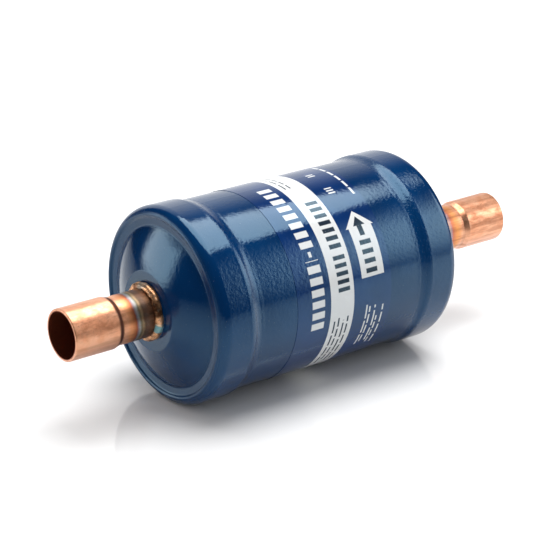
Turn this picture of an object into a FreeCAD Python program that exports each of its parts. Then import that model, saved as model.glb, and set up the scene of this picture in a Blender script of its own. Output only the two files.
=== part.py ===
import FreeCAD, Part

import math
import os

# Filter drier for a refrigerant line, in millimetres.
# The axis of the body is X and the inlet is at -X.
# Radii are measured from the axis, and stations along it from the middle of the steel body.
# The finished pieces are moved along the axis to put the origin half way between the two mouths.

# Steel body
tube_outer_r = 33.35
tube_wall = 1.2
tube_half_length = 43.5
cap_wall = 1.0
skirt_clearance = 0.05
skirt_lap = 6.5
edge_drop = 0.52
edge_run = 1.1
edge_rounding = 4.8

# Rim, sunk ring and domed face of the drawn end caps, each size measured from the one before it
rim_reach = 6.6
rim_fillet = 4.1
crest_rise = 1.35
crest_inset = 3.0
crest_fillet = 1.15
ring_depth = 0.9
ring_inset = 0.9
ring_fillet = 0.9
ring_fall = 0.3
ring_width = 2.55
ring_inner_fillet = 1.0
dome_height = 6.6
dome_bulge = 0.4
dome_radius = 60.0
dome_land_width = 4.45
dome_fillet = 1.2
collar_lip_height = 1.1
collar_fillet = 0.5
braze_clearance = 0.08

# Welds from the skirts' rounded edges down to the tube
weld_toe = 2.3

# Copper solder fittings
socket_bore_r = 8.02
socket_wall = 0.95
socket_depth = 16.9
shoulder_length = 2.0
neck_outer_r = 8.3
neck_wall = 0.85
shoulder_neck_fillet = 0.8
shoulder_socket_fillet = 1.2
mouth_rounding = 0.35
inlet_reach = 33.8
outlet_reach = 40.0
stub_inside = 2.2

# Braze rings
braze_height = 1.8
braze_crown_height = 0.15
braze_crown = 0.6
braze_lap = 0.5

# Label film
label_width = 40.6
label_middle = 0.75
label_thickness = 0.12

# Stack of filter pieces, from the inlet to the outlet
stack_start_gap = 2.5
stack_end_gap = 1.9
plate_thickness = 1.0
plate_rim = 5.0
plate_rim_wall = 0.8
plate_hole_r = 1.9
plate_hole_pitch = 7.4
plate_hole_rings = 3
plate_bend = 1.5
sliding_clearance = 0.3
screen_thickness = 0.6
screen_gap = 2.6
screen_pitch = 5.2
screen_border = 3.0
felt_thickness = 3.0
fine_pad_thickness = 3.0
pad_rounding = 0.6
core_margin = 3.15
core_chamfer = 2.0
core_bore_r = 8.0
core_blind_length = 19.0
core_bore_fillet = 4.0
seal_ring_width = 6.0
packing_clearance = 0.05
stop_ring_side = 2.4

# Compression spring
spring_wire_r = 1.1
spring_small_inset = 1.6
spring_large_inset = 9.15
spring_turns = 3.0
spring_grind = 0.6

# Values that follow from the sizes above
tube_inner_r = tube_outer_r - tube_wall
skirt_inner_r = tube_outer_r + skirt_clearance
skirt_outer_r = skirt_inner_r + cap_wall
skirt_edge_station = tube_half_length - skirt_lap
skirt_edge_r = skirt_outer_r - edge_drop
rim_station = tube_half_length + rim_reach
crest_station = rim_station + crest_rise
crest_r = skirt_outer_r - crest_inset
ring_outer_station = crest_station - ring_depth
ring_outer_r = crest_r - ring_inset
ring_inner_station = ring_outer_station - ring_fall
ring_inner_r = ring_outer_r - ring_width
collar_inner_r = neck_outer_r + braze_clearance
collar_outer_r = collar_inner_r + cap_wall
dome_top_station = ring_inner_station + dome_height
dome_top_r = collar_outer_r + dome_land_width
collar_lip_station = dome_top_station + collar_lip_height
cap_floor_station = dome_top_station - cap_wall
socket_outer_r = socket_bore_r + socket_wall
neck_inner_r = neck_outer_r - neck_wall
inlet_mouth_station = dome_top_station + inlet_reach
outlet_mouth_station = dome_top_station + outlet_reach
origin_shift = (inlet_mouth_station - outlet_mouth_station) / 2
stack_start = stack_start_gap - tube_half_length
stack_end = tube_half_length - stack_end_gap
plate_depth = plate_thickness + plate_rim
inlet_side_depth = plate_thickness + screen_thickness + felt_thickness
outlet_side_depth = felt_thickness + fine_pad_thickness + screen_thickness + plate_depth + stop_ring_side
core_length = stack_end - stack_start - inlet_side_depth - outlet_side_depth
core_r = tube_inner_r - core_margin
spring_small_r = dome_top_r - spring_small_inset
spring_large_r = tube_inner_r - spring_large_inset


def vector(station, radius):
    return FreeCAD.Vector(station, 0, radius)


def offset_corners(corners, distance):
    # Moves an open outline of (station, radius, fillet) corners sideways, to the right of its direction.
    normals = []
    for (x0, r0, _), (x1, r1, _) in zip(corners, corners[1:]):
        length = math.hypot(x1 - x0, r1 - r0)
        normals.append(((r1 - r0) / length, -(x1 - x0) / length))
    moved = []
    for index, (x, r, fillet) in enumerate(corners):
        before = normals[max(index - 1, 0)]
        after = normals[min(index, len(normals) - 1)]
        mitre = 1 + before[0] * after[0] + before[1] * after[1]
        dx = distance * (before[0] + after[0]) / mitre
        dr = distance * (before[1] + after[1]) / mitre
        turn = before[0] * after[1] - before[1] * after[0]
        new_fillet = fillet + math.copysign(distance, turn) if fillet else 0
        moved.append((x + dx, r + dr, new_fillet))
    return moved


def outline_edges(corners):
    # Straight runs joined by tangent arcs. A corner with a fillet of 0 stays sharp.
    edges = []
    start = vector(corners[0][0], corners[0][1])
    for (xa, ra, _), (x, r, fillet), (xb, rb, _) in zip(corners, corners[1:], corners[2:]):
        corner = vector(x, r)
        back = (vector(xa, ra) - corner).normalize()
        ahead = (vector(xb, rb) - corner).normalize()
        if fillet:
            half = back.getAngle(ahead) / 2
            reach = fillet / math.tan(half)
            first = corner + back * reach
            last = corner + ahead * reach
            inward = (back + ahead).normalize()
            middle = corner + inward * (fillet / math.sin(half) - fillet)
            edges.append(Part.LineSegment(start, first).toShape())
            edges.append(Part.Arc(first, middle, last).toShape())
            start = last
        else:
            edges.append(Part.LineSegment(start, corner).toShape())
            start = corner
    edges.append(Part.LineSegment(start, vector(corners[-1][0], corners[-1][1])).toShape())
    return edges


def turned(edges):
    # A solid of revolution about the body's axis, from a closed outline.
    face = Part.Face(Part.Wire(Part.__sortEdges__(edges)))
    return face.revolve(FreeCAD.Vector(0, 0, 0), FreeCAD.Vector(1, 0, 0), 360)


def turned_corners(corners):
    # The same, from a list of corners, which is closed back to its first corner.
    middle = ((corners[0][0] + corners[-1][0]) / 2, (corners[0][1] + corners[-1][1]) / 2, 0)
    return turned(outline_edges([middle] + corners + [middle]))


def turned_block(start, end, inner_r, outer_r, rounding=0.0):
    # A disc or a ring between two stations, with its outer edges rounded.
    return turned_corners([(start, inner_r, 0), (start, outer_r, rounding),
                           (end, outer_r, rounding), (end, inner_r, 0)])


def at_inlet(shape):
    return shape.mirror(FreeCAD.Vector(0, 0, 0), FreeCAD.Vector(1, 0, 0))


def shell_tube():
    return turned_block(-tube_half_length, tube_half_length, tube_inner_r, tube_outer_r)


def end_cap():
    # Drawn cup: skirt, rounded rim, sunk ring, dome, flat land and a collar for the copper.
    dome_chord = math.hypot(dome_height, ring_inner_r - dome_top_r)
    bulge = 2 * dome_bulge / dome_chord
    dome_middle = (
        (ring_inner_station + dome_top_station) / 2 + bulge * (ring_inner_r - dome_top_r),
        (ring_inner_r + dome_top_r) / 2 + bulge * dome_height,
        dome_radius,
    )
    outside = [
        (skirt_edge_station, skirt_outer_r, 0),
        (rim_station, skirt_outer_r, rim_fillet),
        (crest_station, crest_r, crest_fillet),
        (ring_outer_station, ring_outer_r, ring_fillet),
        (ring_inner_station, ring_inner_r, ring_inner_fillet),
        dome_middle,
        (dome_top_station, dome_top_r, dome_fillet),
        (dome_top_station, collar_outer_r, collar_fillet),
        (collar_lip_station, collar_outer_r, 0),
    ]
    inside = offset_corners(outside, cap_wall)
    outside[:1] = [
        (skirt_edge_station, skirt_edge_r, 0),
        (skirt_edge_station + edge_run, skirt_outer_r, edge_rounding),
    ]
    edges = outline_edges(outside) + outline_edges(inside)
    for near, far in ((outside[0], inside[0]), (outside[-1], inside[-1])):
        edges.append(Part.LineSegment(vector(near[0], near[1]), vector(far[0], far[1])).toShape())
    return turned(edges)


def cap_weld():
    # Flat-faced weld that carries the rounded edge of the skirt down to the tube.
    toe = vector(skirt_edge_station - weld_toe, tube_outer_r)
    root = vector(skirt_edge_station, tube_outer_r)
    edge = vector(skirt_edge_station, skirt_edge_r)
    return turned([
        Part.LineSegment(toe, root).toShape(),
        Part.LineSegment(root, edge).toShape(),
        Part.LineSegment(edge, toe).toShape(),
    ])


def copper_fitting(mouth_station):
    # Tube with a swaged socket at the mouth and a plain end inside the cap.
    shoulder = mouth_station - socket_depth
    inner_end = cap_floor_station - stub_inside
    outside = [
        (inner_end, neck_outer_r, 0),
        (shoulder - shoulder_length, neck_outer_r, shoulder_neck_fillet),
        (shoulder, socket_outer_r, shoulder_socket_fillet),
        (mouth_station, socket_outer_r, mouth_rounding),
    ]
    inside = [
        (mouth_station, socket_bore_r, 0),
        (shoulder, socket_bore_r, 0),
        (shoulder - shoulder_length, neck_inner_r, 0),
        (inner_end, neck_inner_r, 0),
    ]
    return turned_corners(outside + inside)


def braze_ring():
    # Fillet of brazing alloy that covers the collar's lip and runs up the copper.
    seat = collar_lip_station
    root = vector(seat, neck_outer_r)
    lip = vector(seat, collar_outer_r)
    lap = vector(seat - braze_lap, collar_outer_r)
    top = vector(seat + braze_height, neck_outer_r)
    crown = vector(seat + braze_crown_height, collar_outer_r + braze_crown)
    return turned([
        Part.LineSegment(root, lip).toShape(),
        Part.LineSegment(lip, lap).toShape(),
        Part.Arc(lap, crown, top).toShape(),
        Part.LineSegment(top, root).toShape(),
    ])


def label_wrap():
    start = label_middle - label_width / 2
    return turned_block(start, start + label_width, tube_outer_r, tube_outer_r + label_thickness)


def disc_with_gaps(start, thickness, outer_r, gap_wires):
    # A flat disc across the axis, with the gaps cut in one go by its face's inner wires.
    axis = FreeCAD.Vector(1, 0, 0)
    rim = Part.Wire(Part.Circle(FreeCAD.Vector(start, 0, 0), axis, outer_r).toShape())
    face = Part.makeFace([rim] + gap_wires, "Part::FaceMakerBullseye")
    return face.extrude(FreeCAD.Vector(thickness, 0, 0))


def perforations(station):
    # One hole in the middle and six more on each ring than on the one inside it.
    axis = FreeCAD.Vector(1, 0, 0)
    centres = [(0.0, 0.0)]
    for ring in range(1, plate_hole_rings + 1):
        count = 6 * ring
        for index in range(count):
            angle = 2 * math.pi * index / count
            reach = ring * plate_hole_pitch
            centres.append((reach * math.cos(angle), reach * math.sin(angle)))
    return [Part.Wire(Part.Circle(FreeCAD.Vector(station, y, z), axis, plate_hole_r).toShape())
            for y, z in centres]


def perforated_plate(start, outer_r):
    # Pressed plate: a punched disc with a bent rim that reaches towards +X.
    flat_r = outer_r - 2 * plate_bend
    disc = disc_with_gaps(start, plate_thickness, flat_r, perforations(start))
    rim_end = start + plate_depth
    outside = [(start, flat_r, 0), (start, outer_r, plate_bend), (rim_end, outer_r, 0)]
    inner_rim_r = outer_r - plate_rim_wall
    inside = [(rim_end, inner_rim_r, 0), (start + plate_thickness, inner_rim_r, plate_bend - plate_rim_wall),
              (start + plate_thickness, flat_r, 0)]
    return disc.fuse(turned_corners(outside + inside)).removeSplitter()


def wire_screen(start, outer_r):
    # Coarse weave shown as a grid of square gaps inside a plain border.
    wires = []
    steps = int(outer_r // screen_pitch)
    half = screen_gap / 2
    for row in range(-steps, steps + 1):
        for column in range(-steps, steps + 1):
            y = column * screen_pitch
            z = row * screen_pitch
            if math.hypot(abs(y) + half, abs(z) + half) > outer_r - screen_border:
                continue
            corners = [(y - half, z - half), (y + half, z - half), (y + half, z + half), (y - half, z + half)]
            points = [FreeCAD.Vector(start, cy, cz) for cy, cz in corners + corners[:1]]
            wires.append(Part.makePolygon(points))
    return disc_with_gaps(start, screen_thickness, outer_r, wires)


def desiccant_core(start):
    # Moulded block with chamfered ends and a blind bore from the outlet side.
    end = start + core_length
    outer = [
        (start, 0, 0),
        (start, core_r - core_chamfer, 0),
        (start + core_chamfer, core_r, 0),
        (end - core_chamfer, core_r, 0),
        (end, core_r - core_chamfer, 0),
        (end, core_bore_r, 0),
        (start + core_blind_length, core_bore_r, core_bore_fillet),
        (start + core_blind_length, 0, 0),
    ]
    return turned_corners(outer)


def core_spring(large_end):
    # Conical wire with its ends ground flat: small coil on the cap's land, large coil on the plate.
    small_end = -cap_floor_station
    height = large_end - small_end
    first = small_end + spring_wire_r - spring_grind
    last = large_end - spring_wire_r + spring_grind
    rise = last - first
    pitch = rise / spring_turns
    slope = math.degrees(math.atan((spring_large_r - spring_small_r) / rise))
    helix = Part.makeLongHelix(pitch, rise, spring_small_r, slope)
    start = FreeCAD.Vector(spring_small_r, 0, 0)
    section = Part.Wire(Part.Circle(start, FreeCAD.Vector(0, 1, 0), spring_wire_r).toShape())
    coil = Part.Wire(helix.Edges).makePipeShell([section], True, True)
    coil.rotate(FreeCAD.Vector(0, 0, 0), FreeCAD.Vector(0, 1, 0), 90)
    coil.translate(FreeCAD.Vector(first, 0, 0))
    reach = spring_large_r + 3 * spring_wire_r
    slab = Part.makeCylinder(reach, height, FreeCAD.Vector(small_end, 0, 0), FreeCAD.Vector(1, 0, 0))
    return coil.common(slab)


def build():
    parts = {"shell_tube": shell_tube(), "label_wrap": label_wrap()}
    for name, mouth, place in (("inlet", inlet_mouth_station, at_inlet),
                               ("outlet", outlet_mouth_station, lambda shape: shape)):
        parts[name + "_end_cap"] = place(end_cap())
        parts[name + "_cap_weld"] = place(cap_weld())
        parts[name + "_copper_fitting"] = place(copper_fitting(mouth))
        parts[name + "_braze_ring"] = place(braze_ring())

    parts["core_spring"] = core_spring(stack_start)
    inlet_plate_r = tube_inner_r - sliding_clearance
    inlet_stack_r = inlet_plate_r - plate_bend - packing_clearance
    place = stack_start
    parts["inlet_perforated_plate"] = perforated_plate(place, inlet_plate_r)
    place += plate_thickness
    parts["inlet_screen"] = wire_screen(place, inlet_stack_r)
    place += screen_thickness
    parts["inlet_felt_pad"] = turned_block(place, place + felt_thickness, 0, inlet_stack_r, pad_rounding)
    place += felt_thickness
    parts["desiccant_core"] = desiccant_core(place)
    place += core_length
    stack_r = tube_inner_r - packing_clearance
    seal_start = place - core_chamfer - seal_ring_width
    parts["core_seal_ring"] = turned_block(seal_start, seal_start + seal_ring_width,
                                           core_r + packing_clearance, stack_r)
    parts["outlet_felt_pad"] = turned_block(place, place + felt_thickness, 0, stack_r, pad_rounding)
    place += felt_thickness
    parts["outlet_fine_pad"] = turned_block(place, place + fine_pad_thickness, 0, stack_r, pad_rounding)
    place += fine_pad_thickness
    parts["outlet_screen"] = wire_screen(place, stack_r)
    place += screen_thickness
    parts["outlet_perforated_plate"] = perforated_plate(place, stack_r)
    place += plate_depth
    parts["outlet_stop_ring"] = turned_block(place, place + stop_ring_side, stack_r - stop_ring_side, stack_r)
    return parts


os.makedirs("parts", exist_ok=True)
for node, shape in build().items():
    shape.translate(FreeCAD.Vector(origin_shift, 0, 0))
    shape.exportStep("parts/" + node + ".step")
    print(node, "valid", shape.isValid(), "solids", len(shape.Solids), "volume", round(shape.Volume, 1))
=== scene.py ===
import bpy
import math
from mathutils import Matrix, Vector


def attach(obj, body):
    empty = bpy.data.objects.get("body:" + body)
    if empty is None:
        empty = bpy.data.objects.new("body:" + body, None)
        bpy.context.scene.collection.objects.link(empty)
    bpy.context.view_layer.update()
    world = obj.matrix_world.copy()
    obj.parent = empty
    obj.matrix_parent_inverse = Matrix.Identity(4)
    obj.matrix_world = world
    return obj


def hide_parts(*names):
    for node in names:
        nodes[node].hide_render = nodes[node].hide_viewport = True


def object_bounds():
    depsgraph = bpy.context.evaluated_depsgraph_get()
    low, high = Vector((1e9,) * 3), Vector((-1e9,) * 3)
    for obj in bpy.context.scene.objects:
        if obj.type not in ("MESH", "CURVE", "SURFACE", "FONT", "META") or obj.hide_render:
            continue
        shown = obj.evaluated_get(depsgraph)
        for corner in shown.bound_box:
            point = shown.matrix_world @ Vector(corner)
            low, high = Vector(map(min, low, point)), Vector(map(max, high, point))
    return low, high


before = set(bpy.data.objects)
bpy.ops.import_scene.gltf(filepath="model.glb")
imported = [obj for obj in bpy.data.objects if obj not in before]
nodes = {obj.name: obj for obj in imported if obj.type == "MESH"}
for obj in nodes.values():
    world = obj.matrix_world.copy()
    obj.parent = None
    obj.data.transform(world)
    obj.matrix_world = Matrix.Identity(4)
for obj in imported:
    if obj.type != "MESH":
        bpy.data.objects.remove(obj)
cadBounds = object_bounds()
mm = 0.001
bodyMiddle = -3.1                               # middle of the steel body along the axis, mm
print("frame loaded with", len(nodes), "nodes")


# one output socket of a node: an expression on it adds its own Math nodes
class Val:
    def __init__(self, finish, socket):
        self.finish = finish
        self.socket = socket

    def out(self, name):                        # another output of the same node
        return Val(self.finish, self.socket.node.outputs[name])

    def math(self, operation, *others):
        inputs = dict(enumerate((self, *others)))
        return self.finish.node("ShaderNodeMath", {"operation": operation}, inputs)

    def __add__(self, other): return self.math("ADD", other)
    def __radd__(self, other): return self.math("ADD", other)
    def __mul__(self, other): return self.math("MULTIPLY", other)
    def __rmul__(self, other): return self.math("MULTIPLY", other)
    def __sub__(self, other): return self.math("SUBTRACT", other)
    def __neg__(self): return self.math("MULTIPLY", -1.0)
    def __abs__(self): return self.math("ABSOLUTE")

    def __rsub__(self, other):
        return self.finish.node("ShaderNodeMath", {"operation": "SUBTRACT"}, {0: other, 1: self})


# the node tree of a material or of the world; lengths in a material are in millimetres
class Finish:
    def __init__(self, owner):
        owner.use_nodes = True
        self.tree = owner.node_tree
        self.tree.nodes.clear()

    # "stops" in the settings are a colour ramp's places and colours
    def node(self, kind, settings=None, inputs=None, out=0):
        made = self.tree.nodes.new(kind)
        for name, value in (settings or {}).items():
            if name == "stops":
                ramp = made.color_ramp
                while len(ramp.elements) < len(value):
                    ramp.elements.new(0.5)
                for element, (place, colour) in zip(ramp.elements, value):
                    element.position = place
                    element.color = (*colour, 1.0)
            else:
                setattr(made, name, value)
        for name, value in (inputs or {}).items():
            if isinstance(value, Val):
                self.tree.links.new(value.socket, made.inputs[name])
            elif isinstance(value, tuple) and made.inputs[name].type == "RGBA" and len(value) == 3:
                made.inputs[name].default_value = (*value, 1.0)
            else:
                made.inputs[name].default_value = value
        return Val(self, made.outputs[out]) if len(made.outputs) else None

    def place(self):                            # Object coordinates
        coords = self.node("ShaderNodeTexCoord", out="Object")
        return self.node("ShaderNodeVectorMath", {"operation": "SCALE"}, {0: coords, "Scale": 1 / mm})

    def split(self, place):
        return self.node("ShaderNodeSeparateXYZ", None, {0: place})

    def stretched(self, place, factors):
        return self.node("ShaderNodeMapping", None, {"Vector": place, "Scale": factors})

    def station(self, place):                   # distance from the body's middle, towards the outlet
        return self.split(place).out("X") - bodyMiddle

    def radius(self, place):                    # distance from the axis
        across = self.stretched(place, (0.0, 1.0, 1.0))
        return self.node("ShaderNodeVectorMath", {"operation": "LENGTH"}, {0: across}, "Value")

    def angle(self, place):                     # degrees round the body, 0 at the front and 90 on top
        parts = self.split(place)
        return parts.out("Z").math("ARCTAN2", -parts.out("Y")) * math.degrees(1.0)

    def step(self, value, low, high, first=0.0, last=1.0):
        return self.node("ShaderNodeMapRange", {"interpolation_type": "SMOOTHSTEP"},
                         {"Value": value, "From Min": low, "From Max": high, "To Min": first, "To Max": last})

    def between(self, value, low, high, soft):
        return self.step(value, low - soft, low + soft) * self.step(value, high - soft, high + soft, 1.0, 0.0)

    def noise(self, place, scale, detail=2.0, roughness=0.5, distortion=0.0):
        return self.node("ShaderNodeTexNoise", None, {"Vector": place, "Scale": scale, "Detail": detail,
                                                      "Roughness": roughness, "Distortion": distortion})

    def patches(self, place, scale, detail, roughness, low, high):      # noise that is cut into soft patches
        return self.step(self.noise(place, scale, detail, roughness), low, high)

    def mix(self, factor, first, second):
        return self.node("ShaderNodeMix", {"data_type": "RGBA", "clamp_factor": True},
                         {"Factor": factor, 6: first, 7: second}, 2)

    def bump(self, height, depth, under=None):
        inputs = {"Height": height, "Distance": depth * mm}
        if under:
            inputs["Normal"] = under
        return self.node("ShaderNodeBump", None, inputs)

    def surface(self, inputs):
        shader = self.node("ShaderNodeBsdfPrincipled", None, inputs)
        self.node("ShaderNodeOutputMaterial", None, {"Surface": shader})


def newFinish(name):
    material = bpy.data.materials.new(name)
    return material, Finish(material)


def coat(names, material):
    for name in names:
        piece = nodes[name]
        piece.data.materials.clear()
        piece.data.materials.append(material)


# a long lens from the front left, a little above the object
view = {
    "turn": -37.96, "rise": 21.14, "distance": 0.750,       # degrees, degrees and metres
    "focalLength": 2157.8, "offCentre": (7.65, -1.61),      # in pixels of the picture
    "pictureWidth": 550, "sensorWidth": 36.0,
}


def makeCamera():
    turn, rise = math.radians(view["turn"]), math.radians(view["rise"])
    back = Vector((math.sin(turn) * math.cos(rise), -math.cos(turn) * math.cos(rise), math.sin(rise)))
    place = Vector((bodyMiddle * mm, 0.0, 0.0)) + back * view["distance"]
    bpy.ops.object.camera_add(location=place, rotation=back.to_track_quat("Z", "Y").to_euler())
    camera = bpy.context.object
    camera.data.sensor_width = view["sensorWidth"]
    camera.data.lens = view["focalLength"] / view["pictureWidth"] * view["sensorWidth"]
    camera.data.shift_x = -view["offCentre"][0] / view["pictureWidth"]
    camera.data.shift_y = view["offCentre"][1] / view["pictureWidth"]
    camera.data.clip_start = 0.01
    bpy.context.scene.camera = camera


makeCamera()
bpy.context.scene.view_settings.view_transform = "Standard"
print("camera made")


# in each finish below, a noise is its scale, detail, roughness and distortion, and patches are a noise's
# scale, detail and roughness, and the two levels between which the patches grow full; where a range has a
# third number, that is how soft its ends are

# glossy blue coat with a fine orange peel, thicker and rougher over the seams
paint = {
    "low": (0.0008, 0.0225, 0.088), "high": (0.0010, 0.0300, 0.110),    # the blue drifts between these two
    "driftPatches": (0.05, 2.0, 0.5, 0.35, 0.65),
    "dust": (0.16, 0.20, 0.26), "dustPatches": (2.6, 1.0, 0.5, 0.745, 0.78), "dustAmount": 0.5,
    "shine": 0.70, "shineTint": (0.40, 0.70, 0.88),
    "roughness": 0.064, "hazePatches": (0.16, 3.0, 0.6, 0.45, 0.75), "hazeAmount": 0.035,
    "relief": 0.072,                            # mm, and each height is a share of it
    "peelNoise": (0.86, 3.0, 0.62), "peelHeight": 0.60,
    "waveNoise": (0.11, 1.0), "waveHeight": 0.35,
    "seam": (33.6, 39.4, 0.7), "seamPeel": 0.6, "seamHaze": 0.05,
    "pimplePatches": (1.9, 2.0, 0.6, 0.60, 0.72), "seamPimples": 0.4,
    "weldMiddle": 35.85, "weldHalf": 1.15, "weldHollow": 1.3,
    "rimRadius": (27.3, 33.0, 0.5), "rimStation": (46.0, 47.5), "rimHaze": 0.22,
}


def bluePaint():
    material, f = newFinish("bluePowderCoat")
    place = f.place()
    station = abs(f.station(place))
    seam = f.between(station, *paint["seam"])
    peel = f.noise(place, *paint["peelNoise"])
    wave = f.noise(place, *paint["waveNoise"])
    pimples = f.patches(place, *paint["pimplePatches"])
    across = (station - paint["weldMiddle"]) * (1 / paint["weldHalf"])
    hollow = (1 - across * across).math("MAXIMUM", 0.0)
    height = peel * paint["peelHeight"] + wave * paint["waveHeight"]
    height = height + seam * (peel * paint["seamPeel"] + pimples * paint["seamPimples"])
    height = height - hollow * paint["weldHollow"]
    colour = f.mix(f.patches(place, *paint["driftPatches"]), paint["low"], paint["high"])
    colour = f.mix(f.patches(place, *paint["dustPatches"]) * paint["dustAmount"], colour, paint["dust"])
    rim = f.between(f.radius(place), *paint["rimRadius"]) * f.step(station, *paint["rimStation"])
    rough = paint["roughness"] + f.patches(place, *paint["hazePatches"]) * paint["hazeAmount"]
    rough = rough + seam * paint["seamHaze"] + rim * paint["rimHaze"]
    f.surface({"Base Color": colour, "Roughness": rough, "IOR": 1.5,
               "Specular IOR Level": paint["shine"], "Specular Tint": paint["shineTint"],
               "Normal": f.bump(height, paint["relief"])})
    return material


coat(["shell_tube", "inlet_end_cap", "outlet_end_cap", "inlet_cap_weld", "outlet_cap_weld"], bluePaint())
print("paint made")


# printed film: a white band, plain rows of bars and dashes, and an arrow with a small arrow in it
label = {
    "blue": (0.0024, 0.0215, 0.100), "paleBlue": (0.0030, 0.026875, 0.125),
    "driftPatches": (0.06, 2.0, 0.5, 0.35, 0.65),
    "white": (0.72, 0.725, 0.72), "ink": (0.012, 0.018, 0.032),
    # two levels of the wear, and how much of the print is there at each
    "wearNoise": (1.6, 3.0, 0.6), "whiteLeft": (0.18, 0.30, 0.8, 1.0), "inkLeft": (0.20, 0.34, 0.7, 1.0),
    "shine": 0.70, "shineTint": (0.40, 0.72, 0.92),
    "roughness": 0.085, "whiteHaze": 0.05, "wearHaze": 0.03, "wearHazeFrom": (0.55, 0.80),
    "peelNoise": (0.86, 2.0, 0.55), "peelHeight": 0.36,     # heights are shares of the paint's relief
    "waveNoise": (0.11, 1.0), "waveHeight": 0.35,
    "band": (-5.45, 4.57, 0.05),
    # a row: station from and to in mm, angle from and to, period and width of its bars in degrees
    "paleRows": [
        (-13.4, -8.1, 36.0, 87.5, 6.5, 4.1),
        (-13.4, -8.1, -13.5, 28.5, 6.9, 4.5),
        (-11.3, -10.1, 30.4, 33.8, 9.0, 9.0),
        (10.2, 10.8, -38.0, -6.0, 11.0, 9.4),
        (11.6, 12.2, -36.0, -8.0, 8.0, 6.6),
        (13.9, 14.5, -36.0, -8.0, 13.0, 11.2),
        (15.2, 15.8, -39.0, -16.0, 6.5, 5.2),
        (17.4, 18.0, -40.0, -9.0, 9.0, 7.4),
        (18.4, 19.3, 62.0, 104.0, 7.0, 5.8),
        (9.6, 12.6, 66.5, 72.0, 2.2, 1.2),
        (10.0, 13.0, 87.0, 92.0, 2.4, 1.3),
    ],
    "inkRows": [
        (-2.1, 2.9, 31.6, 66.0, 5.0, 2.9),
        (-2.1, 2.9, 6.0, 28.6, 4.7, 2.7),
        (-3.7, -3.0, -50.0, -10.0, 10.0, 8.6),
        (-1.9, -1.2, -46.0, -9.0, 7.5, 6.2),
        (0.2, 0.9, -50.0, -12.0, 12.5, 11.0),
        (2.0, 2.7, -48.0, -10.0, 8.5, 7.1),
        (-3.4, -2.8, 80.0, 106.0, 9.0, 7.6),
        (-1.4, -0.8, 80.0, 106.0, 6.5, 5.2),
        (10.6, 15.4, 12.6, 33.0, 5.6, 3.0),
    ],
    # shaft, head and the tip's first number are stations in mm, and the rest are angles in degrees
    "arrow": {"shaft": (8.3, 18.1), "foot": 10.5, "neck": 40.5, "head": (7.2, 19.1), "tip": (13.15, 50.9)},
    "smallArrow": {"shaft": (12.0, 14.1), "foot": 35.0, "neck": 41.3,
                   "head": (10.7, 15.7), "tip": (13.15, 47.2)},
    # softness of the print's edges: a row's sides and ends, a bar's far and near end, an arrow's sides
    "sideSoft": 0.10, "endSoft": 0.15, "barFarSoft": 0.25, "barNearSoft": 0.30, "arrowSoft": 0.08,
}


def printRow(f, station, angle, row):
    low, high, first, last, period, width = row
    soft = label["barFarSoft"]
    cycle = (angle - first).math("FLOORED_MODULO", period)
    bar = f.step(cycle, width - soft, width + soft, 1.0, 0.0) * f.step(cycle, 0.0, label["barNearSoft"])
    within = f.between(angle, first, last, label["endSoft"])
    return bar * f.between(station, low, high, label["sideSoft"]) * within


def arrowShape(f, station, angle, shape):
    neck, soft, edge = shape["neck"], label["endSoft"], label["arrowSoft"]
    tipStation, tipAngle = shape["tip"]
    halfHead = (shape["head"][1] - shape["head"][0]) / 2
    shaft = f.between(station, *shape["shaft"], edge) * f.between(angle, shape["foot"], neck + 0.2, soft)
    run = (tipAngle - angle) * (halfHead / (tipAngle - neck))
    head = f.step(abs(station - tipStation) - run, -edge, edge, 1.0, 0.0)
    return shaft.math("MAXIMUM", head * f.step(angle, neck - soft, neck + soft))


def labelFilm():
    material, f = newFinish("printedLabelFilm")
    place = f.place()
    station, angle = f.station(place), f.angle(place)
    white = f.between(station, *label["band"])
    for row in label["paleRows"]:
        white = white.math("MAXIMUM", printRow(f, station, angle, row))
    white = white.math("MAXIMUM", arrowShape(f, station, angle, label["arrow"]))
    ink = arrowShape(f, station, angle, label["smallArrow"])
    for row in label["inkRows"]:
        ink = ink.math("MAXIMUM", printRow(f, station, angle, row))
    wear = f.noise(place, *label["wearNoise"])
    colour = f.mix(f.patches(place, *label["driftPatches"]), label["blue"], label["paleBlue"])
    colour = f.mix(white * f.step(wear, *label["whiteLeft"]), colour, label["white"])
    colour = f.mix(ink * f.step(wear, *label["inkLeft"]), colour, label["ink"])
    rough = label["roughness"] + white * label["whiteHaze"]
    rough = rough + f.step(wear, *label["wearHazeFrom"]) * label["wearHaze"]
    height = f.noise(place, *label["peelNoise"]) * label["peelHeight"]
    height = height + f.noise(place, *label["waveNoise"]) * label["waveHeight"]
    f.surface({"Base Color": colour, "Roughness": rough, "IOR": 1.5,
               "Specular IOR Level": label["shine"], "Specular Tint": label["shineTint"],
               "Normal": f.bump(height, paint["relief"])})
    return material


coat(["label_wrap"], labelFilm())
print("label made")


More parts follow.
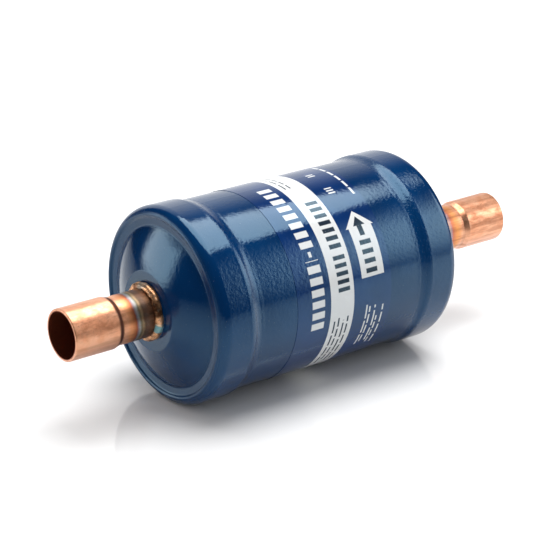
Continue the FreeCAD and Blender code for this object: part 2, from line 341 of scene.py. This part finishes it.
# drawn copper: brushed round the tube, blotched, and tinted by the heat of brazing towards the cap, with
# painted shade on the upper front, on the swage's shoulder and inside the bore, and a painted pink reflection
# of the table underneath
copper = {
    "clean": (0.82, 0.365, 0.200), "pale": (0.90, 0.48, 0.30),
    "blotchNoise": (0.20, 4.0, 0.62, 0.4), "paleFrom": (0.30, 0.70),
    "stainNoise": (0.55, 5.0, 0.70, 0.3), "stainStretch": (0.6, 1.0, 1.0),
    "brownStainAndShade": (0.34, 0.115, 0.050), "brownFrom": (0.38, 0.68),
    # partly painted shade: the brown stains are kept to a band across the upper front, where they also stand
    # in for shade
    "brownShadeAngle": (5.0, 78.0, 22.0), "brownAmount": 0.60,
    # painted reflection: pink low on the front stands in for the table's reflection
    "pinkFloorReflection": (0.85, 0.47, 0.33), "floorReflectionAngle": (-12.0, -42.0), "floorReflectionAmount": 0.8,
    "waverNoise": (0.25, 3.0, 0.6), "waverWidth": 1.6, "tintFade": 2.5,
    "burnt": (0.030, 0.015, 0.009), "burntFrom": (0.46, 0.56), "burntReach": (9.0, 1.0), "burntAmount": 0.8,
    # painted shade: a dark reddish band round the swage's shoulder, which turns away from the light
    "shoulderShade": (0.20, 0.075, 0.050), "shoulderShadeReach": (-0.9, 0.3), "shoulderShadeSoft": 0.30,
    "shoulderShadeLeft": (0.15, 0.50, 0.65, 0.90),
    "drawnNoise": (1.0, 3.0, 0.6), "drawnStretch": (0.05, 0.55, 0.55), "drawnFrom": (0.42, 0.62),
    # painted shade: dark brown inside the socket near its mouth
    "bore": (0.25, 0.062, 0.029), "boreRadius": (8.35, 8.15), "boreStation": (78.0, 82.0),
    "roughness": 0.33, "stainHaze": 0.25, "brushHaze": 0.12, "metal": 0.80,
    "relief": 0.010,                            # mm, and each height is a share of it
    "brushNoise": (1.0, 3.0, 0.6), "brushStretch": (5.5, 0.22, 0.22), "brushHeight": 0.5,
    "stainHeight": 0.7, "pitPatches": (1.5, 2.0, 0.5, 0.62, 0.74), "pitHeight": 0.6,
    "dentNoise": (0.10, 1.0), "dentDepth": 0.05,
}
# the shoulder of the swage and the heat's tints are at distances in mm from the body's middle, and the last
# two numbers of each fitting are how strongly the painted shade on the shoulder and the worn streaks show
fittings = {
    "inlet": {"shoulder": 73.0, "shoulderShadeAmount": 1.0, "wear": 0.25, "tint": [
        (56.0, (0.040, 0.018, 0.010)), (59.8, (0.150, 0.070, 0.032)), (61.2, (0.300, 0.150, 0.080)),
        (62.4, (0.250, 0.150, 0.105)), (63.4, (0.200, 0.125, 0.080)), (64.2, (0.520, 0.360, 0.200)),
        (64.9, (0.220, 0.190, 0.110)), (65.8, (0.480, 0.500, 0.480)), (66.4, (0.300, 0.240, 0.270)),
        (66.9, (0.420, 0.110, 0.045)), (68.6, (0.860, 0.350, 0.150)), (71.5, (0.920, 0.460, 0.260))]},
    "outlet": {"shoulder": 77.9, "shoulderShadeAmount": 0.25, "wear": 0.50, "tint": [
        (60.0, (0.300, 0.250, 0.170)), (68.0, (0.500, 0.430, 0.280)), (70.6, (0.560, 0.520, 0.360)),
        (71.8, (0.400, 0.260, 0.300)), (72.6, (0.560, 0.170, 0.090)), (74.4, (0.780, 0.330, 0.110)),
        (77.5, (0.800, 0.370, 0.190))]},
}


def copperTube(name, fitting):
    material, f = newFinish(name)
    place = f.place()
    station, angle = abs(f.station(place)), f.angle(place)
    blotch = f.noise(place, *copper["blotchNoise"])
    stain = f.noise(f.stretched(place, copper["stainStretch"]), *copper["stainNoise"])
    colour = f.mix(f.step(blotch, *copper["paleFrom"]), copper["clean"], copper["pale"])
    # brown stains, kept to a band across the upper front so that they also paint the shade there
    brownStainAndShade = f.step(stain, *copper["brownFrom"]) * f.between(angle, *copper["brownShadeAngle"])
    colour = f.mix(brownStainAndShade * copper["brownAmount"], colour, copper["brownStainAndShade"])
    # pink low on the front: a painted reflection of the table
    colour = f.mix(f.step(angle, *copper["floorReflectionAngle"]) * copper["floorReflectionAmount"], colour, copper["pinkFloorReflection"])
    # wavering rings of heat tint along the neck, and burnt stains next to the cap
    tint = fitting["tint"]
    first, last = tint[0][0], tint[-1][0]
    wavy = station + (f.noise(place, *copper["waverNoise"]) - 0.5) * copper["waverWidth"]
    stops = [((distance - first) / (last - first), tone) for distance, tone in tint]
    heat = f.node("ShaderNodeValToRGB", {"stops": stops}, {"Fac": (wavy - first) * (1 / (last - first))})
    colour = f.mix(f.step(wavy, last - copper["tintFade"], last, 1.0, 0.0), colour, heat)
    far, near = copper["burntReach"]
    burnt = f.step(wavy, first + far, first + near) * f.step(stain, *copper["burntFrom"])
    colour = f.mix(burnt * copper["burntAmount"], colour, copper["burnt"])
    # a dark band round the shoulder: painted shade
    low, high = (fitting["shoulder"] + reach for reach in copper["shoulderShadeReach"])
    shoulderShade = f.between(station, low, high, copper["shoulderShadeSoft"]) * f.step(blotch, *copper["shoulderShadeLeft"])
    colour = f.mix(shoulderShade * fitting["shoulderShadeAmount"], colour, copper["shoulderShade"])
    drawn = f.noise(f.stretched(place, copper["drawnStretch"]), *copper["drawnNoise"])
    colour = f.mix(f.step(drawn, *copper["drawnFrom"]) * fitting["wear"], colour, copper["brownStainAndShade"])
    # dark brown inside the bore: painted shade
    bore = f.step(f.radius(place), *copper["boreRadius"]) * f.step(station, *copper["boreStation"])
    colour = f.mix(bore, colour, copper["bore"])
    brush = f.noise(f.stretched(place, copper["brushStretch"]), *copper["brushNoise"])
    pits = f.patches(place, *copper["pitPatches"])
    rough = copper["roughness"] + (stain - 0.5) * copper["stainHaze"] + (brush - 0.5) * copper["brushHaze"]
    height = brush * copper["brushHeight"] + stain * copper["stainHeight"] - pits * copper["pitHeight"]
    dents = f.bump(f.noise(place, *copper["dentNoise"]), copper["dentDepth"])
    f.surface({"Base Color": colour, "Roughness": rough, "Metallic": copper["metal"],
               "Normal": f.bump(height, copper["relief"], dents)})
    return material


for end, fitting in fittings.items():
    coat([end + "_copper_fitting"], copperTube("tintedCopper" + end.capitalize(), fitting))
print("copper made")


# lumpy beads of brazing alloy round the necks
bead = {
    "ringRadius": 8.30, "thickness": 1.70, "station": 58.05, "segments": (72, 16),
    "jitter": 0.10, "lumps": 0.60, "lumpSize": 3.2,
    "runFrom": 0.90, "runReach": 4.0, "runHeight": 0.5, "runBack": 0.2,     # a thicker run of alloy on top
    "gold": (0.78, 0.41, 0.21), "dark": (0.17, 0.070, 0.032), "lumpNoise": (0.36, 3.0, 0.6, 0.3),
    "goldFrom": (0.36, 0.60),
    "grey": (0.36, 0.31, 0.25), "greyPatches": (0.9, 3.0, 0.6, 0.56, 0.70), "greyAmount": 0.6,
    "greyTop": (78.0, 104.0, 4.0), "greyTopFrom": (0.62, 0.50), "greyTopAmount": 0.8,
    "slag": (0.012, 0.008, 0.006), "slagPatches": (1.5, 2.0, 0.5, 0.62, 0.72), "slagAmount": 0.9,
    "teal": (0.15, 0.38, 0.41), "tealAngle": (-29.0, -12.0, 1.5), "tealWaver": 8.0, "tealAmount": 0.9,
    "paleEdge": (0.74, 0.62, 0.46), "paleEdgeAngle": (-11.0, -7.0, 1.0), "paleEdgeAmount": 0.8,
    "roughness": 0.38, "slagHaze": 0.3, "lumpHaze": 0.3, "metal": 0.9, "tealDulls": 0.7,
    "relief": 0.10, "lumpHeight": 0.8, "slagHeight": 0.4,
}


def brazeAlloy():
    material, f = newFinish("brazingAlloy")
    place = f.place()
    angle = f.angle(place)
    lump = f.noise(place, *bead["lumpNoise"])
    colour = f.mix(f.step(lump, *bead["goldFrom"]), bead["dark"], bead["gold"])
    colour = f.mix(f.patches(place, *bead["greyPatches"]) * bead["greyAmount"], colour, bead["grey"])
    greyTop = f.between(angle, *bead["greyTop"]) * f.step(lump, *bead["greyTopFrom"])
    colour = f.mix(greyTop * bead["greyTopAmount"], colour, bead["grey"])
    slag = f.patches(place, *bead["slagPatches"])
    colour = f.mix(slag * bead["slagAmount"], colour, bead["slag"])
    # a drop of verdigris low on the front, with a pale edge above it
    drop = f.between(angle + (lump - 0.5) * bead["tealWaver"], *bead["tealAngle"])
    paleEdge = f.between(angle, *bead["paleEdgeAngle"])
    colour = f.mix(paleEdge * bead["paleEdgeAmount"], colour, bead["paleEdge"])
    colour = f.mix(drop * bead["tealAmount"], colour, bead["teal"])
    rough = bead["roughness"] + slag * bead["slagHaze"] + (lump - 0.5) * bead["lumpHaze"]
    height = lump * bead["lumpHeight"] - slag * bead["slagHeight"]
    f.surface({"Base Color": colour, "Roughness": rough, "Metallic": bead["metal"] - drop * bead["tealDulls"],
               "Normal": f.bump(height, bead["relief"])})
    return material


def brazeBead(name, side, alloy, seed):
    # a torus round the neck, roughened, pulled up on top, smoothed and pushed into lumps
    middle = (bodyMiddle + side * bead["station"]) * mm
    majorSegments, minorSegments = bead["segments"]
    bpy.ops.object.select_all(action="DESELECT")
    bpy.ops.mesh.primitive_torus_add(major_segments=majorSegments, minor_segments=minorSegments,
                                     major_radius=bead["ringRadius"] * mm, minor_radius=bead["thickness"] * mm,
                                     location=(middle, 0.0, 0.0), rotation=(0.0, math.radians(90), 0.0))
    piece = bpy.context.object
    piece.name = name + "_braze_bead"
    bpy.ops.object.transform_apply(location=True, rotation=True, scale=True)
    bpy.ops.object.mode_set(mode="EDIT")
    bpy.ops.mesh.select_all(action="SELECT")
    bpy.ops.transform.vertex_random(offset=bead["jitter"] * mm, uniform=0.4, normal=0.6, seed=seed)
    bpy.ops.mesh.vertices_smooth(factor=0.5, repeat=1)
    bpy.ops.mesh.select_all(action="DESELECT")
    bpy.ops.object.mode_set(mode="OBJECT")
    for vertex in piece.data.vertices:
        vertex.select = vertex.co.z > bead["runFrom"] * bead["ringRadius"] * mm
    bpy.ops.object.mode_set(mode="EDIT")
    bpy.ops.transform.translate(value=(-side * bead["runBack"] * mm, 0.0, bead["runHeight"] * mm),
                                use_proportional_edit=True, proportional_edit_falloff="SMOOTH",
                                proportional_size=bead["runReach"] * mm)
    bpy.ops.object.mode_set(mode="OBJECT")
    smoothing = piece.modifiers.new("smoothing", "SUBSURF")
    smoothing.levels = smoothing.render_levels = 1
    bpy.ops.object.modifier_apply(modifier="smoothing")
    clouds = bpy.data.textures.new(name + "Lumps", "CLOUDS")
    clouds.noise_scale = bead["lumpSize"] * mm
    lumps = piece.modifiers.new("lumps", "DISPLACE")
    lumps.texture, lumps.texture_coords = clouds, "LOCAL"
    lumps.strength, lumps.mid_level = bead["lumps"] * mm, 0.5
    bpy.ops.object.modifier_apply(modifier="lumps")
    bpy.ops.object.shade_smooth()
    piece.data.materials.append(alloy)
    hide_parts(name + "_braze_ring")
    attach(piece, "root")


alloy = brazeAlloy()
brazeBead("inlet", -1, alloy, seed=3)
brazeBead("outlet", 1, alloy, seed=8)
print("braze beads made")


# plates and stop ring: plated sheet steel with yellowish clouds
plate = {
    "grey": (0.46, 0.47, 0.46), "pale": (0.62, 0.62, 0.58),
    "cloudNoise": (0.25, 4.0, 0.6), "paleFrom": (0.3, 0.7),
    "yellow": (0.60, 0.55, 0.36), "yellowFrom": (0.62, 0.72), "yellowAmount": 0.5,
    "grainStretch": (0.3, 4.0, 0.3), "roughness": 0.30, "grainHaze": 0.15, "relief": 0.01,
}


def platedSteel():
    material, f = newFinish("platedSheetSteel")
    place = f.place()
    cloud = f.noise(place, *plate["cloudNoise"])
    grain = f.noise(f.stretched(place, plate["grainStretch"]), 1.0)
    colour = f.mix(f.step(cloud, *plate["paleFrom"]), plate["grey"], plate["pale"])
    colour = f.mix(f.step(cloud, *plate["yellowFrom"]) * plate["yellowAmount"], colour, plate["yellow"])
    f.surface({"Base Color": colour, "Roughness": plate["roughness"] + grain * plate["grainHaze"],
               "Metallic": 1.0, "Normal": f.bump(grain, plate["relief"])})
    return material


# spring: drawn wire with a film of oil
wire = {
    "dark": (0.30, 0.30, 0.31), "pale": (0.52, 0.51, 0.50), "oilPatches": (0.35, 3.0, 0.6, 0.35, 0.7),
    "drawnStretch": (6.0, 0.4, 0.4), "roughness": 0.24, "drawnHaze": 0.2, "relief": 0.008,
}


def springSteel():
    material, f = newFinish("drawnSpringWire")
    place = f.place()
    drawn = f.noise(f.stretched(place, wire["drawnStretch"]), 1.0)
    colour = f.mix(f.patches(place, *wire["oilPatches"]), wire["dark"], wire["pale"])
    f.surface({"Base Color": colour, "Roughness": wire["roughness"] + drawn * wire["drawnHaze"],
               "Metallic": 1.0, "Normal": f.bump(drawn, wire["relief"])})
    return material


# screens: woven wire, shown by colour and bump
screen = {
    "dark": (0.34, 0.34, 0.35), "pale": (0.66, 0.66, 0.66), "paleFrom": (-0.6, 0.6),
    "weave": 7.0,                               # radians of the weave in a millimetre
    "roughness": 0.32, "haze": 0.1, "hazeScale": 0.5, "relief": 0.08,
}


def wovenSteel():
    material, f = newFinish("wovenWireMesh")
    place = f.place()
    parts = f.split(place)
    across, up = parts.out("Y") * screen["weave"], parts.out("Z") * screen["weave"]
    weave = across.math("SINE") * up.math("SINE")
    colour = f.mix(f.step(weave, *screen["paleFrom"]), screen["dark"], screen["pale"])
    rough = screen["roughness"] + f.noise(place, screen["hazeScale"]) * screen["haze"]
    f.surface({"Base Color": colour, "Roughness": rough,
               "Metallic": 1.0, "Normal": f.bump(weave, screen["relief"])})
    return material


# pads and sealing ring: pressed felt
felt = {
    "shade": (0.62, 0.60, 0.54), "pale": (0.86, 0.85, 0.81),
    "fibreNoise": (1.2, 5.0, 0.75, 1.2), "fibreStretch": (3.0, 1.0, 1.0),
    "tuft": (0.70, 0.66, 0.56), "tuftNoise": (0.25, 3.0), "tuftFrom": (0.55, 0.75), "tuftAmount": 0.4,
    "roughness": 0.95, "sheen": 0.25, "relief": 0.25, "tuftHeight": 0.6,
}


def pressedFelt():
    material, f = newFinish("pressedFelt")
    place = f.place()
    fibre = f.noise(f.stretched(place, felt["fibreStretch"]), *felt["fibreNoise"])
    tuft = f.noise(place, *felt["tuftNoise"])
    colour = f.mix(fibre, felt["shade"], felt["pale"])
    colour = f.mix(f.step(tuft, *felt["tuftFrom"]) * felt["tuftAmount"], colour, felt["tuft"])
    f.surface({"Base Color": colour, "Roughness": felt["roughness"], "Sheen Weight": felt["sheen"],
               "Normal": f.bump(fibre + tuft * felt["tuftHeight"], felt["relief"])})
    return material


# drying core: pale grains, darker gaps and pores
desiccant = {
    "grain": (0.80, 0.75, 0.66), "gap": (0.60, 0.54, 0.44), "grainScale": 0.85, "gapFrom": (0.1, 0.7),
    "pore": (0.36, 0.31, 0.25), "porePatches": (1.4, 3.0, 0.6, 0.58, 0.70), "poreAmount": 0.7,
    "roughness": 0.92, "relief": 0.22, "gapDepth": 0.6, "poreDepth": 0.8,
}


def mouldedDesiccant():
    material, f = newFinish("mouldedDesiccant")
    place = f.place()
    gap = f.node("ShaderNodeTexVoronoi", None, {"Vector": place, "Scale": desiccant["grainScale"]})
    pores = f.patches(place, *desiccant["porePatches"])
    colour = f.mix(f.step(gap, *desiccant["gapFrom"]), desiccant["grain"], desiccant["gap"])
    colour = f.mix(pores * desiccant["poreAmount"], colour, desiccant["pore"])
    height = gap * -desiccant["gapDepth"] - pores * desiccant["poreDepth"]
    f.surface({"Base Color": colour, "Roughness": desiccant["roughness"],
               "Normal": f.bump(height, desiccant["relief"])})
    return material


coat(["core_spring"], springSteel())
coat(["inlet_perforated_plate", "outlet_perforated_plate", "outlet_stop_ring"], platedSteel())
coat(["inlet_screen", "outlet_screen"], wovenSteel())
coat(["inlet_felt_pad", "outlet_felt_pad", "outlet_fine_pad", "core_seal_ring"], pressedFelt())
coat(["desiccant_core"], mouldedDesiccant())
print("inner pieces coated")


# plain pale studio: one large softbox overhead, a small table, and pale walls seen only as reflections
studio = {
    "tableColour": 0.84, "tableSeen": 0.975, "tableSize": 1.2, "tableRoughness": 0.07,
    "boxPlace": (0.202, 0.060, 0.70), "boxAcross": 0.74, "boxLevel": 4.3,
    "air": 0.56, "dark": 0.018,                 # level of the air's light, and of its reflection
    # turn and lift are in degrees, and right, behind and front are the same parts of a direction
    "wall": {"behind": (0.35, 0.82), "right": (-0.05, 0.15), "level": 1.10},
    "leftPanel": {"turn": (-65.0, -28.0, 4.0), "lift": (1.0, 22.0, 3.0), "level": 3.9},
    "rightPanel": {"right": (0.540, 0.635), "front": (-0.05, -0.25),
                   "liftFoot": (-12.0, 24.0), "liftTop": (31.0, 50.0), "level": 4.0},
}


def makeTable():
    low = min(corner[2] for corner in cadBounds)
    bpy.ops.object.select_all(action="DESELECT")
    bpy.ops.mesh.primitive_plane_add(size=studio["tableSize"], location=(0.0, 0.0, low))
    table = bpy.context.object
    table.name = "studio_floor"
    material, f = newFinish("paleTable")
    seen = f.node("ShaderNodeLightPath", out="Is Camera Ray")
    level = studio["tableColour"] + seen * (studio["tableSeen"] - studio["tableColour"])
    colour = f.mix(level, (0.0, 0.0, 0.0), (1.0, 1.0, 1.0))
    f.surface({"Base Color": colour, "Roughness": studio["tableRoughness"]})
    table.data.materials.append(material)


def makeSoftbox():
    bpy.ops.object.light_add(type="AREA", location=studio["boxPlace"])
    box = bpy.context.object
    box.name = "overheadSoftbox"
    box.data.shape = "DISK"
    box.data.size = studio["boxAcross"]
    box.data.energy = studio["boxLevel"] * math.pi * studio["boxAcross"] ** 2


def makeAir():
    world = bpy.data.worlds.new("studioAir")
    bpy.context.scene.world = world
    w = Finish(world)
    ray = w.node("ShaderNodeLightPath")
    seen, gloss = ray.out("Is Camera Ray"), ray.out("Is Glossy Ray")
    way = w.split(w.node("ShaderNodeTexCoord", out="Generated"))
    right, behind, up = way.out("X"), way.out("Y"), way.out("Z")
    turn = right.math("ARCTAN2", behind) * math.degrees(1.0)
    lift = up.math("ARCSINE") * math.degrees(1.0)
    wall, left, strip = studio["wall"], studio["leftPanel"], studio["rightPanel"]
    farWall = w.step(behind, *wall["behind"]) * w.step(right, *wall["right"])
    leftPanel = w.between(turn, *left["turn"]) * w.between(lift, *left["lift"])
    rightPanel = w.step(right, *strip["right"]) * w.step(behind, *strip["front"])
    rightPanel = rightPanel * w.step(lift, *strip["liftFoot"]) * w.step(lift, *strip["liftTop"], 1.0, 0.0)
    mirrored = studio["dark"] + farWall * wall["level"] + leftPanel * left["level"]
    mirrored = mirrored + rightPanel * strip["level"]
    # white where the camera looks past the object, the reflections for gloss, and even air for the rest
    level = seen + (1 - seen) * (gloss * mirrored + (1 - gloss) * studio["air"])
    air = w.node("ShaderNodeBackground", None, {"Color": (1.0, 1.0, 1.0), "Strength": level})
    w.node("ShaderNodeOutputWorld", None, {"Surface": air})


makeTable()
makeSoftbox()
makeAir()
print("studio made")
